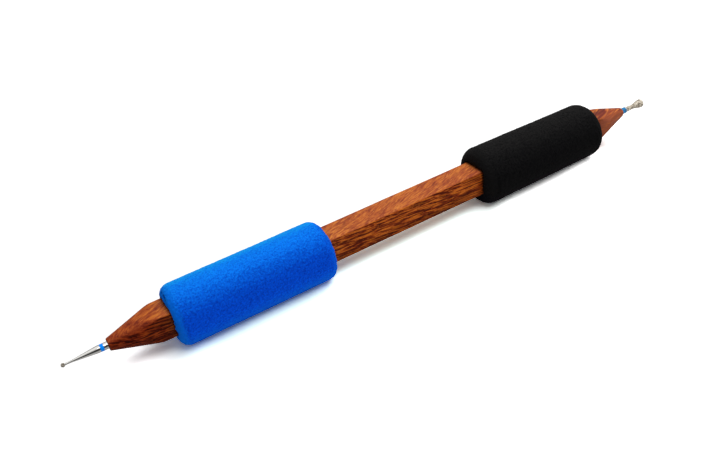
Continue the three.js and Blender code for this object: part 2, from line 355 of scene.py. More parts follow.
class Shader:
    """The node tree of a material or a world, built one node at a time."""

    def __init__(self, owner):
        owner.use_nodes = True
        self.owner = owner
        self.tree = owner.node_tree
        self.tree.nodes.clear()
        self.place = 0

    def add(self, kind, inputs=None, **settings):
        node = self.tree.nodes.new("ShaderNode" + kind)
        node.location = (self.place * 40, -(self.place % 7) * 160)
        self.place += 1
        for key, value in settings.items():
            setattr(node, key, value)
        for key, value in (inputs or {}).items():
            self.feed(node.inputs[key], value)
        return node

    def feed(self, socket, value):
        if isinstance(value, bpy.types.NodeSocket):
            self.tree.links.new(value, socket)
        else:
            socket.default_value = value

    def math(self, operation, a, b=0.0, c=0.0):
        return self.add("Math", {0: a, 1: b, 2: c}, operation=operation).outputs[0]

    def times(self, a, b):
        return self.math("MULTIPLY", a, b)

    def times_add(self, a, b, c):
        return self.math("MULTIPLY_ADD", a, b, c)

    def vector_math(self, operation, a, b):
        return self.add("VectorMath", {0: a, 1: b}, operation=operation).outputs

    def stretched(self, vector, factors):
        return self.vector_math("MULTIPLY", vector, factors)[0]

    def shifted(self, vector, offset):
        return self.vector_math("ADD", vector, offset)[0]

    def along(self, vector, direction):
        """How far a point lies along a direction, which need not have length 1."""
        return self.vector_math("DOT_PRODUCT", vector, direction)["Value"]

    def millimetres(self):
        """Object coordinates in millimetres."""
        return self.stretched(self.add("TexCoord").outputs["Object"], (1000, 1000, 1000))

    def facing(self):
        """How far the surface faces along the object's own X, Y and Z."""
        return self.add("SeparateXYZ", {0: self.add("TexCoord").outputs["Normal"]}).outputs

    def joined(self, x, y, z):
        return self.add("CombineXYZ", {0: x, 1: y, 2: z}).outputs[0]

    def grey(self, value):
        return self.joined(value, value, value)

    def blended(self, factor, a, b):
        return self.add("Mix", {0: factor, 2: a, 3: b}, data_type="FLOAT").outputs[0]

    def noise(self, vector, scale=1.0, detail=2.0, roughness=0.5):
        inputs = {"Vector": vector, "Scale": scale, "Detail": detail, "Roughness": roughness}
        return self.add("TexNoise", inputs, noise_dimensions="3D").outputs["Fac"]

    def figure(self, vector, factors, detail=1.0, roughness=0.5, offset=None):
        """Noise whose lumps are shortened by a factor on each axis. An offset gives other lumps."""
        vector = self.stretched(vector, factors)
        if offset is not None:
            vector = self.shifted(vector, offset)
        return self.noise(vector, 1.0, detail, roughness)

    def remap(self, value, low, high, new_low=0.0, new_high=1.0, smooth=False):
        """value, moved from the range low to high into the new range and held there."""
        node = self.add("MapRange", interpolation_type="SMOOTHSTEP" if smooth else "LINEAR")
        for socket, number in zip(node.inputs, (value, low, high, new_low, new_high)):
            self.feed(socket, number)
        return node.outputs[0]

    def mask(self, value, low, high, most=1.0):
        """A soft step from 0 at low to most at high."""
        return self.remap(value, low, high, 0.0, most, smooth=True)

    def ramp(self, value, stops):
        """stops: (position, (r, g, b)) pairs, linear light."""
        node = self.add("ValToRGB", {0: value})
        elements = node.color_ramp.elements
        while len(elements) < len(stops):
            elements.new(0.5)
        for element, (position, colour) in zip(elements, stops):
            element.position = position
            element.color = (*colour, 1)
        return node.outputs[0]

    def mix(self, factor, a, b, blend="MIX"):
        a, b = [(*value, 1) if isinstance(value, tuple) else value for value in (a, b)]
        settings = {"data_type": "RGBA", "blend_type": blend}
        return self.add("Mix", {0: factor, 6: a, 7: b}, **settings).outputs[2]

    def darkened(self, factor, colour, by):
        return self.mix(factor, colour, by, blend="MULTIPLY")

    def bump(self, height, strength, distance):
        """distance is in millimetres."""
        inputs = {"Height": height, "Strength": strength, "Distance": distance * MM}
        return self.add("Bump", inputs).outputs[0]

    def surface(self, shader, output="OutputMaterial"):
        self.add(output, {"Surface": shader.outputs[0]})
        return self.owner

    def finish(self, **inputs):
        named = {key.replace("_", " "): value for key, value in inputs.items()}
        return self.surface(self.add("BsdfPrincipled", named))


def new_shader(name):
    return Shader(bpy.data.materials.new(name))


# Wood


def wood_layers(s, place, broad):
    """Growth layers that lean in the stick."""
    ripple = s.figure(place, (0.2, 0.5, 0.5), offset=(7, 3, 5))
    depth = s.times_add(broad, 3.0, s.along(place, (0.085, -0.17, 1.0)))
    depth = s.times_add(ripple, 0.8, depth)
    run = s.along(place, (0.05, 0.0, 0.0))
    across = s.along(place, (0.0, 0.06, 0.0))
    return s.noise(s.joined(run, across, depth), 1.0, 4.0, 0.6)


def wood_fibres(s, place, broad):
    """Coordinates that follow the fibres, which run out of the stick at a slant."""
    wander = s.times(s.math("SUBTRACT", broad, 0.5), 5.0)
    slant_y = s.math("ADD", s.along(place, (-0.34, 1.0, 0.0)), wander)
    slant_z = s.along(place, (0.085, 0.0, 1.0))
    slanted = s.joined(s.along(place, (1.0, 0.0, 0.0)), slant_y, slant_z)
    sway = s.figure(place, (0.08, 0.15, 0.2), offset=(2, 5, 8))
    return s.shifted(slanted, s.joined(0.0, 0.0, s.times(sway, 0.9)))


def wood_lines(s, colour, fibres, side, lined):
    """Dark lines on the lined faces, and gold ones on the sides of the stick."""
    dark = s.figure(fibres, (0.028, 0.5, 2.9), offset=(5, 2, 7))
    gold = s.figure(fibres, (0.03, 0.5, 2.4), offset=(1, 8, 4))
    colour = s.mix(s.times(s.mask(dark, 0.56, 0.66, 0.65), lined), colour, DARK_LINE)
    return s.mix(s.times(s.mask(gold, 0.58, 0.70, 0.5), side), colour, GOLD_LINE)


def wood_faces(s, colour, place, side, facing):
    """What sets faces apart: painted shade on the sides and low on them, a painted sheen on top,
    painted highlights on the edges, and dark tapers.
    """
    # Painted shade: the sides darker than the top
    colour = s.darkened(side, colour, (0.86, 0.66, 0.58))
    # Painted sheen: the top a little paler
    colour = s.mix(s.math("SUBTRACT", 0.02, s.times(side, 0.02)), colour, PAINTED_TOP_SHEEN)
    # Painted highlight along the rounded edges, between top and side
    edge = s.times(s.times(side, s.math("SUBTRACT", 1.0, side)), 4.0)
    colour = s.mix(s.times(edge, 0.14), colour, PAINTED_EDGE_HIGHLIGHT)
    tapered = s.mask(s.math("ABSOLUTE", facing[0]), 0.08, 0.22)
    colour = s.darkened(tapered, colour, (0.86, 0.74, 0.92))
    # Painted shade on the lower part of the sides
    low_side_shade = s.mask(s.along(place, (0.0, 0.0, 1.0)), 9.8, 7.0, 0.30)
    return s.mix(s.times(low_side_shade, side), colour, (0.0, 0.0, 0.0))


def wood_ends(s, colour, place, facing, far_end):
    """The two tapers' tones: stripes on the far one, and painted light and shade on both. far_end is 1
    on the taper of the flared bur.
    """
    run = s.along(place, (1.0, 0.0, 0.0))
    low = s.mask(facing[2], 0.95, 0.5)
    rising = s.along(place, (-0.38, 0.68, 1.0))
    stripes = s.noise(s.joined(s.times(run, 0.05), 0.0, rising), 1.0, 1.5)
    colour = s.mix(s.times(s.mask(stripes, 0.47, 0.56, 0.8), far_end), colour, END_STRIPE)
    colour = s.darkened(far_end, colour, (0.97, 0.98, 1.0))
    # Painted shade on the lower faces of the far taper
    colour = s.darkened(s.times(far_end, low), colour, (0.84, 0.84, 0.92))
    # Painted shade on the first taper, and more on its lower faces
    colour = s.darkened(s.mask(run, -84.0, -90.0), colour, (0.90, 0.78, 0.66))
    colour = s.darkened(s.times(s.mask(run, -80.0, -88.0), low), colour, (0.56, 0.42, 0.55))
    # Painted light on the lower faces of the far taper
    return s.mix(s.times(s.times(s.mask(run, 88.0, 94.0), low), 0.4), colour, PAINTED_END_LIGHT)


def wood_material():
    s = new_shader("wood")
    place = s.millimetres()
    facing = s.facing()
    side = s.mask(s.math("ABSOLUTE", facing[2]), 0.85, 0.35)
    far_end = s.mask(s.along(place, (1.0, 0.0, 0.0)), 86.0, 92.0)
    lined = s.math("MAXIMUM", side, s.times(far_end, 0.85))

    # Tight lines on the sides of the stick, and broad figure on its top
    broad = s.figure(place, (0.05, 0.14, 0.14), 1.5)
    layers = wood_layers(s, place, broad)
    fibres = wood_fibres(s, place, broad)
    lines = s.figure(fibres, (0.032, 0.45, 2.2), 1.4, 0.7)
    fibre = s.figure(fibres, (0.26, 1.5, 1.5), 3.0, 0.6)
    top_tone = s.times_add(layers, 0.4, s.times(fibre, 0.6))
    top_tone = s.times_add(s.math("SUBTRACT", top_tone, 0.5), 1.5, 0.6)
    # Besides their grain, the sides sit lower in the tones than the top, a painted shade
    side_tone = s.times_add(layers, 0.08, s.times(lines, 0.92))
    side_tone = s.times_add(s.math("SUBTRACT", side_tone, 0.5), 3.9, 0.48)
    colour = s.ramp(s.blended(lined, top_tone, side_tone), WOOD_TONES)

    pores = s.mask(s.figure(fibres, (0.34, 2.3, 2.3), offset=(3, 11, 2)), 0.58, 0.70)
    flecks = s.mask(s.figure(fibres, (0.36, 2.0, 2.0), offset=(13, 1, 9)), 0.58, 0.72)
    colour = s.mix(s.times(pores, 0.5), colour, PORE)
    colour = s.mix(s.times(flecks, 0.4), colour, FLECK)
    colour = wood_lines(s, colour, fibres, side, lined)
    colour = wood_faces(s, colour, place, side, facing)
    colour = wood_ends(s, colour, place, facing, far_end)

    # Dark where the foam or a bur sits close against the wood
    near = s.add("AmbientOcclusion", {"Distance": 1.1 * MM}, samples=6).outputs["AO"]
    colour = s.mix(s.remap(near, 0.9, 0.35, 0.0, 0.92), colour, CLOSE_SHADE)
    height = s.times_add(pores, -1.0, s.times(fibre, 0.8))
    return s.finish(
        Base_Color=colour,
        Roughness=s.times_add(pores, 0.2, s.remap(fibre, 0.35, 0.65, 0.5, 0.4)),
        IOR=1.12,
        Normal=s.bump(height, 0.5, 0.05),
    )


# Foam, metal, grit, paint and glue


def foam_material(name, tones, end_painted_light, sheen, sheen_weight):
    """tones: painted light and shade, as (how far a face looks up, colour of the pits, colour of the
    skin) for some directions.
    """
    s = new_shader(name)
    place = s.millimetres()
    grain = s.noise(place, 1.8, 2.0, 0.55)
    fine = s.noise(place, 3.8, 1.0, 0.5)
    cells = s.add("TexVoronoi", {"Vector": place, "Scale": 2.1}, feature="SMOOTH_F1")
    patches = s.noise(place, 0.2, 2.0, 0.5)
    height = s.times_add(fine, 0.45, s.times(grain, 0.8))
    height = s.times_add(cells.outputs["Distance"], -0.5, height)
    # Random patches, and painted shade that darkens the pits
    patch_and_pit_shade = s.times_add(patches, 0.25, s.remap(height, 0.22, 0.54, 0.0, 0.8))

    # Painted light and shade by where a face looks: up, back and towards the first end count as lit
    to_x, to_y, to_z = s.facing()
    behind = s.times(s.math("MAXIMUM", to_y, 0.0), s.remap(to_z, 0.45, 0.9))
    painted_light_facing = s.math("ADD", to_z, behind)
    painted_light_facing = s.times_add(s.math("MINIMUM", to_x, 0.0), -0.2, painted_light_facing)
    painted_light_facing = s.remap(painted_light_facing, *FOAM_LIT_RANGE)
    low, high = FOAM_LIT_RANGE
    pits = s.ramp(painted_light_facing, [((up - low) / (high - low), pit) for up, pit, _ in tones])
    skin = s.ramp(painted_light_facing, [((up - low) / (high - low), skin) for up, _, skin in tones])
    colour = s.mix(patch_and_pit_shade, pits, skin)
    # Painted light on the faces that look towards the first end
    colour = s.mix(s.mask(to_x, -0.15, -0.7, 0.7), colour, end_painted_light)
    # Painted shade in the hole and the deep tears
    crevice_shade = s.add("Attribute", attribute_name="crevice_shade").outputs["Fac"]
    return s.finish(
        Base_Color=s.mix(crevice_shade, colour, FOAM_CREVICE_SHADE),
        Roughness=s.remap(fine, 0.3, 0.7, 0.85, 0.95),
        IOR=1.12,
        Sheen_Weight=sheen_weight,
        Sheen_Roughness=0.5,
        Sheen_Tint=(*sheen, 1),
        Normal=s.bump(height, 1.0, 0.26),
    )


def steel_material():
    s = new_shader("steel")
    place = s.millimetres()
    turning = s.figure(place, (26, 1.2, 1.2), 3.0, 0.7)
    smears = s.figure(place, (0.8, 1.6, 1.6), 3.0)
    return s.finish(
        Base_Color=s.mix(smears, (0.70, 0.685, 0.65), (0.84, 0.83, 0.80)),
        Metallic=1.0,
        Specular_Tint=(0.5, 0.5, 0.5, 1),
        Roughness=s.remap(smears, 0.3, 0.7, 0.09, 0.16),
        Normal=s.bump(turning, 0.35, 0.01),
    )


def grit_material(name, level):
    """level: how bright the grit is."""
    s = new_shader(name)
    place = s.millimetres()
    grains = s.add("TexVoronoi", {"Vector": place, "Scale": 4.0, "Randomness": 1.0})
    tint = s.add("SeparateColor", {0: grains.outputs["Color"]}).outputs[0]
    wear = s.remap(s.noise(place, 1.1, 2.0), 0.36, 0.64)
    colour = s.ramp(s.times_add(tint, 0.5, s.times(wear, 0.5)), GRIT_TONES)
    return s.finish(
        Base_Color=s.stretched(colour, (level, level, level)),
        IOR=1.25,
        Roughness=s.remap(tint, 0.0, 1.0, 0.4, 0.65),
        Normal=s.bump(grains.outputs["Distance"], 0.6, 0.05),
    )


def paint_material(name, colour, deep):
    s = new_shader(name)
    coat = s.figure(s.millimetres(), (2.5, 1.4, 1.4), 3.0)
    return s.finish(
        Base_Color=s.mix(s.remap(coat, 0.35, 0.65), deep, colour),
        Roughness=s.remap(coat, 0.3, 0.7, 0.3, 0.42),
        IOR=1.15,
        Normal=s.bump(coat, 0.3, 0.03),
    )


def adhesive_material():
    s = new_shader("adhesive")
    cloud = s.noise(s.millimetres(), 2.0, 3.0)
    return s.finish(
        Base_Color=s.mix(cloud, (0.30, 0.19, 0.09), (0.50, 0.36, 0.20)),
        Roughness=s.remap(cloud, 0.3, 0.7, 0.2, 0.4),
        Normal=s.bump(cloud, 0.3, 0.05),
    )


WOOD = wood_material()
# The third colour of each foam is its painted light on the faces towards the first end
BLUE_FOAM = foam_material("blue_foam", BLUE_LIT_TONES, (0.001, 0.190, 1.0), (0.01, 0.45, 1.0), 0.35)
BLACK_FOAM = foam_material(
    "black_foam", BLACK_LIT_TONES, (0.0080, 0.0077, 0.0074), (0.06, 0.057, 0.054), 0.28
)
STEEL = steel_material()
BALL_GRIT = grit_material("ball_grit", 0.5)
HEAD_GRIT = grit_material("head_grit", 1.02)
LIGHT_BLUE = paint_material("light_blue_paint", (0.001, 0.300, 1.0), (0.001, 0.220, 0.900))
DARK_BLUE = paint_material("dark_blue_paint", (0.018, 0.240, 0.540), (0.030, 0.130, 0.290))
ADHESIVE = adhesive_material()


# Handle


def square_radius(angles, side, corner):
    """How far the outline of a rounded square is from its middle, at each angle."""
    half = side / 2
    straight = half - corner
    a = np.mod(angles + math.pi / 4, math.pi / 2) - math.pi / 4
    flat = half / np.cos(a)
    off = math.hypot(straight, straight)
    turn = np.abs(a) - math.pi / 4
    inside = np.maximum(corner**2 - (off * np.sin(turn)) ** 2, 0)
    rounded = off * np.cos(turn) + np.sqrt(inside)
    on_corner = np.abs(np.tan(a)) * half > straight
    return np.where(on_corner, rounded, flat)


def softer_minimum(a, b, overlap):
    """The smaller of two numbers, rounded off where they differ by less than the overlap."""
    near = np.maximum(1 - np.abs(a - b) / overlap, 0)
    return np.minimum(a, b) - near * near * overlap / 4


def softer_maximum(a, b, overlap):
    return -softer_minimum(-a, -b, overlap)


def handle_angles():
    """Angles round the stick, closest together at its four edges."""
    half = HANDLE_SIDE / 2
    edge = math.atan2(half - HANDLE_EDGE_RADIUS * 1.15, half)
    flat = np.linspace(-edge, edge, HANDLE_FLAT_STEPS + 1)[:-1]
    corner = np.linspace(edge, math.pi / 2 - edge, HANDLE_EDGE_STEPS + 1)[:-1]
    quarter = np.concatenate([flat, corner])
    return np.concatenate([quarter + k * math.pi / 2 for k in range(4)])


def taper_rings(tip, direction, taper, square):
    """Rings of one tapered end, tip first, as (x, radii) pairs."""
    full = square.max() + TAPER_BLEND
    tip_radius = SHANK_RADIUS + taper["margin"]
    slope = (full - tip_radius) / taper["length"]
    edge = taper["edge"]
    rings = []
    for inward, rise in arc(edge, 0, edge, 180, 90, 6):
        radius = tip_radius + slope * inward - edge + rise
        rings.append((tip + direction * inward, np.minimum(square, radius)))
    for inward in np.linspace(edge, taper["length"], TAPER_RINGS)[1:]:
        radius = tip_radius + slope * inward
        trimmed = softer_minimum(square, np.full_like(square, radius), TAPER_BLEND)
        rings.append((tip + direction * inward, trimmed))
    return rings


def bore_rings(tip, direction, count):
    """Rings of the hole for a bur, from its bottom out, as (x, radii) pairs."""
    wall = np.full(count, BORE_RADIUS)
    bottom = tip + direction * BORE_DEPTH
    return [
        (bottom, wall * BORE_CENTRE),
        (bottom, wall),
        (tip + direction * BORE_MOUTH["depth"], wall),
        (tip, wall + BORE_MOUTH["flare"]),
    ]


def make_handle():
    angles = handle_angles()
    count = len(angles)
    square = square_radius(angles, HANDLE_SIDE, HANDLE_EDGE_RADIUS)
    left = bore_rings(BALL_TIP, 1, count) + taper_rings(BALL_TIP, 1, BALL_TAPER, square)
    right = bore_rings(FLARED_TIP, -1, count) + taper_rings(FLARED_TIP, -1, FLARED_TAPER, square)
    middle = np.linspace(left[-1][0], right[-1][0], MIDDLE_RINGS)[1:-1]
    rings = [*left, *[(x, square) for x in middle], *right[::-1]]
    radii = np.array([r for _, r in rings])
    grid = grid_round_axis([x for x, _ in rings], radii, angles)
    # The bores' walls stay smooth
    outside = (radii > BORE_RADIUS + 0.3)[..., None]
    drawn_out = grid * np.array([HANDLE_WEAR["share"], 1, 1])
    wear = lumps(drawn_out, HANDLE_WEAR["size"], HANDLE_WEAR["seed"])
    wear = wear[..., None] * HANDLE_WEAR["height"]
    grid = grid + outside * wear * normals_of(grid, False)
    grid[..., 2] += AXIS_HEIGHT
    points = grid.reshape(-1, 3).tolist()
    faces = ring_faces(len(rings), count, False)
    close_ends(points, faces, (rings[0][0], rings[-1][0]), len(rings), count)
    handle = mesh_piece("handle_wood", points, faces, WOOD)
    crisp(handle, 50)
    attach(handle, "handle")
    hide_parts("handle")


# Foam grips


def hole_outline(angles):
    """Y and Z of the wall of a grip's square hole, from the tool's axis."""
    radius = square_radius(angles, HOLE_SIDE, HOLE_CORNER)
    return radius * np.cos(angles), radius * np.sin(angles)


def skin_outline(angles, spec, radius):
    """Y and Z of a grip's skin, whose middle is a little below the tool's axis."""
    return radius * np.cos(angles), radius * np.sin(angles) - spec["drop"]


def from_hole_wall(y, z):
    """How far points lie outside the wall of the square hole."""
    flat = HOLE_SIDE / 2 - HOLE_CORNER
    dy = np.abs(y) - flat
    dz = np.abs(z) - flat
    past_corner = np.hypot(np.maximum(dy, 0), np.maximum(dz, 0))
    return past_corner + np.minimum(np.maximum(dy, dz), 0) - HOLE_CORNER


def end_rings(spec, end, angles):
    """Rings over a grip's first (0) or last (1) end, from the outer skin to the wall of the hole, as
    pairs of points and how much of the skin is left."""
    direction = 1 if end else -1
    x = spec["ends"][end]
    radius = spec["diameters"][end] / 2
    rounding = spec["round"][end]
    mean, gain = spec["lip"][end]
    lip = mean + gain * np.sin(angles)
    skin_y, skin_z = skin_outline(angles, spec, radius)
    hole_y, hole_z = hole_outline(angles)
    rings = []
    for k in (1 - np.cos(np.linspace(0, math.pi, END_RINGS))) / 2:
        y = skin_y + (hole_y - skin_y) * k
        z = skin_z + (hole_z - skin_z) * k
        from_skin = np.hypot(y, z + spec["drop"]) - (radius - rounding)
        from_skin = np.clip(from_skin, 0, rounding)
        outside = rounding - np.sqrt(rounding**2 - from_skin**2)
        from_hole = np.clip(from_hole_wall(y, z), 0, lip)
        inside = lip - np.sqrt(lip**2 - (lip - from_hole) ** 2)
        depth = softer_maximum(outside, inside, END_BLEND)
        flat_end = np.stack([np.full_like(y, x), y, z], -1)
        fray = lumps(flat_end, FRAY_SIZE, spec["seed"] + FRAY_SEED)
        depth = depth + fray * spec["fray"] * np.exp(-((from_hole / FRAY_REACH) ** 2))
        skin = np.clip(from_hole / SKIN_REACH, 0, 1)
        rings.append((np.stack([x - direction * depth, y, z], -1), skin))
    return rings


def grip_rings(spec, angles):
    """All rings of a grip: along its skin, over its last end, back through the hole and over its
    first end."""
    count = len(angles)
    start, end = spec["ends"]
    d0, d1 = spec["diameters"]
    e0, e1 = spec["round"]
    rings = []
    steps = int(round((end - start - e0 - e1) / FOAM_CELL))
    for x in np.linspace(start + e0, end - e1, steps)[1:-1]:
        radius = (d0 + (d1 - d0) * (x - start) / (end - start)) / 2
        y, z = skin_outline(angles, spec, radius)
        rings.append((np.stack([np.full(count, x), y, z], -1), np.ones(count)))
    last = end_rings(spec, 1, angles)
    first = end_rings(spec, 0, angles)[::-1]
    hole = []
    for k in np.linspace(0, 1, HOLE_RINGS)[1:-1]:
        hole.append((last[-1][0] * (1 - k) + first[0][0] * k, np.zeros(count)))
    return rings + last + hole + first


def foam_surface(grid, skin, spec):
    """The grid with the foam's lumps and tears, and how much painted shade its hole and deep tears
    get, from 0 to 1.
    """
    relief = 0
    for k, (size, height) in enumerate(FOAM_LUMPS):
        relief = relief + lumps(grid, size, spec["seed"] + k) * height
    grid = grid + (relief * skin)[..., None] * normals_of(grid, True)
    near_end = np.clip(spec["ends"][0] + TEAR_REACH - grid[..., 0], 0, 1)
    # Painted shade in the hole and the deep tears
    crevice_shade = np.clip(CREVICE_SHADE_LEVEL - skin, 0, 1)
    for y, z, size, depth in spec["tears"]:
        away = np.hypot(grid[..., 1] - y, grid[..., 2] - z) / size
        torn = np.exp(-(away**2)) * near_end
        grid[..., 0] += depth * torn * skin
        if depth > DEEP_TEAR:
            crevice_shade = np.maximum(crevice_shade, torn)
    return grid, crevice_shade


def make_grip(name, spec, node, body, material):
    count = int(round(math.pi * max(spec["diameters"]) / FOAM_CELL))
    angles = np.linspace(0, 2 * math.pi, count, endpoint=False)
    rings = grip_rings(spec, angles)
    grid = np.array([points for points, _ in rings])
    skin = np.array([left for _, left in rings])
    grid, crevice_shade = foam_surface(grid, skin, spec)
    grid[..., 2] = np.maximum(grid[..., 2] + AXIS_HEIGHT, 0.0)
    faces = [tuple(reversed(f)) for f in ring_faces(len(rings), count, True)]
    piece = mesh_piece(name, grid.reshape(-1, 3), faces, material)
    shades = piece.data.attributes.new("crevice_shade", "FLOAT", "POINT")
    shades.data.foreach_set("value", crevice_shade.reshape(-1).astype(np.float32))
    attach(piece, body)
    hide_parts(node)


# Burs


def place_profile(profile, tip, direction):
    return [(tip + direction * x, r) for x, r in profile]


def shank_profile(band):
    """From the inner end of a shank to the far side of its painted band's groove."""
    groove = SHANK_RADIUS - BAND_DEPTH
    near = band["start"]
    far = near + band["width"]
    return [
        (-SHANK_SEAT, 0),
        (-SHANK_SEAT, SHANK_RADIUS - SHANK_CHAMFER),
        (-SHANK_SEAT + SHANK_CHAMFER, SHANK_RADIUS),
        (-1.0, SHANK_RADIUS),
        (near - GROOVE_EDGE, SHANK_RADIUS),
        (near, SHANK_RADIUS - GROOVE_EDGE),
        (near, groove),
        (far, groove),
        (far, SHANK_RADIUS - GROOVE_EDGE),
        (far + GROOVE_EDGE, SHANK_RADIUS),
    ]


def band_profile(band):
    """A band of paint, a hair clear of its groove and a hair proud of the shank."""
    outer = SHANK_RADIUS + BAND_GAP
    inner = SHANK_RADIUS - BAND_DEPTH + BAND_GAP
    near = band["start"] + BAND_GAP
    far = band["start"] + band["width"] - BAND_GAP
    flat = np.linspace(near + 2 * BAND_EDGE, far - 2 * BAND_EDGE, 8)
    return [
        (near, inner),
        (near, outer - BAND_EDGE),
        (near + BAND_EDGE, outer),
        *[(x, outer) for x in flat],
        (far - BAND_EDGE, outer),
        (far, outer - BAND_EDGE),
        (far, inner),
    ]


def collar_end(band):
    return band["start"] + band["width"] + band["collar"]


def smooth_curve(knots, steps):
    """Points of a Catmull-Rom curve through the knots."""
    knots = [np.array(k, float) for k in knots]
    padded = [2 * knots[0] - knots[1], *knots, 2 * knots[-1] - knots[-2]]
    points = []
    for i in range(1, len(padded) - 2):
        p0, p1, p2, p3 = padded[i - 1 : i + 3]
        for t in np.linspace(0, 1, steps, endpoint=False):
            bend = (2 * p0 - 5 * p1 + 4 * p2 - p3) * t**2
            twist = (3 * p1 - p0 - 3 * p2 + p3) * t**3
            points.append((2 * p1 + (p2 - p0) * t + bend + twist) / 2)
    points.append(padded[-2])
    return [tuple(p) for p in points]


def flared_outline(skin):
    """The flared head's outline, that far below its surface."""
    start = collar_end(FLARED_BAND)
    knots = [(start + x, d / 2 - skin) for x, d in FLARED_HEAD]
    side = smooth_curve(knots, FLARED_STEPS)
    x, widest = side[-1]
    rounding = FLARED_END_RADIUS - skin
    end = arc(x, widest - rounding, rounding, 90, 0, 10)[1:]
    inwards = np.linspace(widest - rounding, FLARED_CENTRE, 10)[1:]
    flat = [(x + rounding, r) for r in inwards]
    return [*side, *end, *flat, (x + rounding, 0)]


def grain_heights(grid, grains):
    """Heights of a plating's grains at each point."""
    coarse = np.abs(lumps(grid, grains["coarse"], grains["seed"])) - grains["sunk"]
    fine = lumps(grid, grains["fine"], grains["seed"] + 1)
    return (coarse + FINE_SHARE * fine) * grains["height"]


def dress(piece, node):
    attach(piece, "handle")
    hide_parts(node)


def make_shank_and_band(bur, profile, band, tip, way, paint):
    """The steel of a bur from its whole profile, and its painted band."""
    steel = place_profile(profile, tip, way)
    shank = turned(bur + "_steel", steel, SHANK_SEGMENTS, STEEL)
    crisp(shank, 40)
    dress(shank, bur + "_shank")
    ring = place_profile(band_profile(band), tip, way)
    band = turned(bur + "_ring", ring, SHANK_SEGMENTS, paint, True)
    crisp(band, 60)
    dress(band, bur + "_band")


def make_ball_bur():
    tip, way = BALL_TIP, -1
    end = collar_end(BALL_BAND)
    centre = end + NECK_TAPER + NECK_STRAIGHT + BALL_RADIUS
    core = BALL_RADIUS - GRIT

    def meeting_angle(radius, opening):
        """Where a ball's outline meets an opening round its neck, in degrees."""
        return 180 - math.degrees(math.asin(opening / radius))

    neck = []
    for t in np.linspace(0.005, 1, NECK_RINGS):
        neck.append((end + NECK_TAPER * t, SHANK_RADIUS + (NECK_RADIUS - SHANK_RADIUS) * t))
    profile = [
        *shank_profile(BALL_BAND),
        (end - COLLAR_EDGE, SHANK_RADIUS),
        *neck,
        *arc(centre, 0, core, meeting_angle(core, NECK_RADIUS), 0, 12),
    ]
    make_shank_and_band("ball_bur", profile, BALL_BAND, tip, way, LIGHT_BLUE)

    opening = NECK_RADIUS + PLATING_GAP
    inner_radius = core + PLATING_GAP / 2
    inner = arc(centre, 0, inner_radius, BALL_END_ANGLE, meeting_angle(core, opening), 16)
    outer_start = meeting_angle(BALL_RADIUS, opening)
    outer = arc(centre, 0, BALL_RADIUS, outer_start, BALL_END_ANGLE, 40)
    plating = place_profile([*inner, *outer], tip, way)
    middle = np.array([tip + way * centre, 0, 0])

    def grains(grid):
        away = grid - middle
        distance = np.linalg.norm(away, axis=-1, keepdims=True)
        outside = distance > BALL_RADIUS - GRIT / 4
        return grid + away / distance * grain_heights(grid, BALL_GRAINS)[..., None] * outside

    ball = turned("ball_bur_plating", plating, BALL_SEGMENTS, BALL_GRIT, True, grains)
    dress(ball, "ball_bur_grit")


def make_flared_bur():
    tip, way = FLARED_TIP, 1
    end = collar_end(FLARED_BAND)
    profile = [
        *shank_profile(FLARED_BAND),
        (end - COLLAR_EDGE, SHANK_RADIUS),
        (end, SHANK_RADIUS - COLLAR_EDGE),
        *flared_outline(GRIT + PLATING_GAP),
    ]
    make_shank_and_band("flared_bur", profile, FLARED_BAND, tip, way, DARK_BLUE)

    outer = flared_outline(0)
    inner = flared_outline(GRIT)
    # The loop runs just clear of the axis
    centre = [(outer[-1][0], 0.02), (inner[-1][0], 0.02)]
    loop = [*outer[:-1], *centre, *inner[:-1][::-1]]

    def grains(grid):
        radius = np.hypot(grid[..., 1], grid[..., 2])
        on_outside = np.arange(grid.shape[0])[:, None] < len(outer) - 1
        height = grain_heights(grid, HEAD_GRAINS) * on_outside * (radius > 0.1)
        return grid - normals_of(grid, True) * height[..., None]

    head_profile = place_profile(loop, tip, way)
    head = turned("flared_bur_plating", head_profile, HEAD_SEGMENTS, HEAD_GRIT, True, grains)
    dress(head, "flared_bur_grit")


make_handle()
make_grip("blue_foam_sleeve", BLUE_GRIP, "blue_grip", "blue_grip", BLUE_FOAM)
make_grip("black_foam_sleeve", BLACK_GRIP, "black_grip", "black_grip", BLACK_FOAM)
make_ball_bur()
make_flared_bur()
for node in ("ball_bur_adhesive", "flared_bur_adhesive"):
    for material_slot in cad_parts[node].material_slots:
        material_slot.material = ADHESIVE


# Studio

FLOOR_REACH = 3.0
# Painted light and shade on the floor close to the tool: how pale the camera sees it, from one end
# of the span to the other, which sets how dark and what colour the shadow looks there
TINT_SPAN = 120.0
FLOOR_GAIN = 4.5
FLOOR_PAINTED_SHADE = [
    (0.05, (0.533, 0.533, 0.533)),
    (0.10, (0.507, 0.513, 0.513)),
    (0.13, (0.365, 0.375, 0.365)),
    (0.17, (0.380, 0.445, 0.385)),
    (0.21, (0.335, 0.392, 0.326)),
    (0.33, (0.335, 0.395, 0.315)),
    (0.37, (0.400, 0.460, 0.390)),
    (0.41, (0.375, 0.455, 0.445)),
    (0.60, (0.375, 0.450, 0.445)),
    (0.64, (0.390, 0.430, 0.425)),
    (0.68, (0.690, 0.710, 0.700)),
    (0.71, (0.590, 0.600, 0.600)),
    (0.75, (0.600, 0.600, 0.600)),
    (0.79, (0.660, 0.665, 0.665)),
    (0.84, (0.960, 0.960, 0.960)),
    (0.87, (0.800, 0.800, 0.800)),
    (0.90, (0.373, 0.373, 0.373)),
]
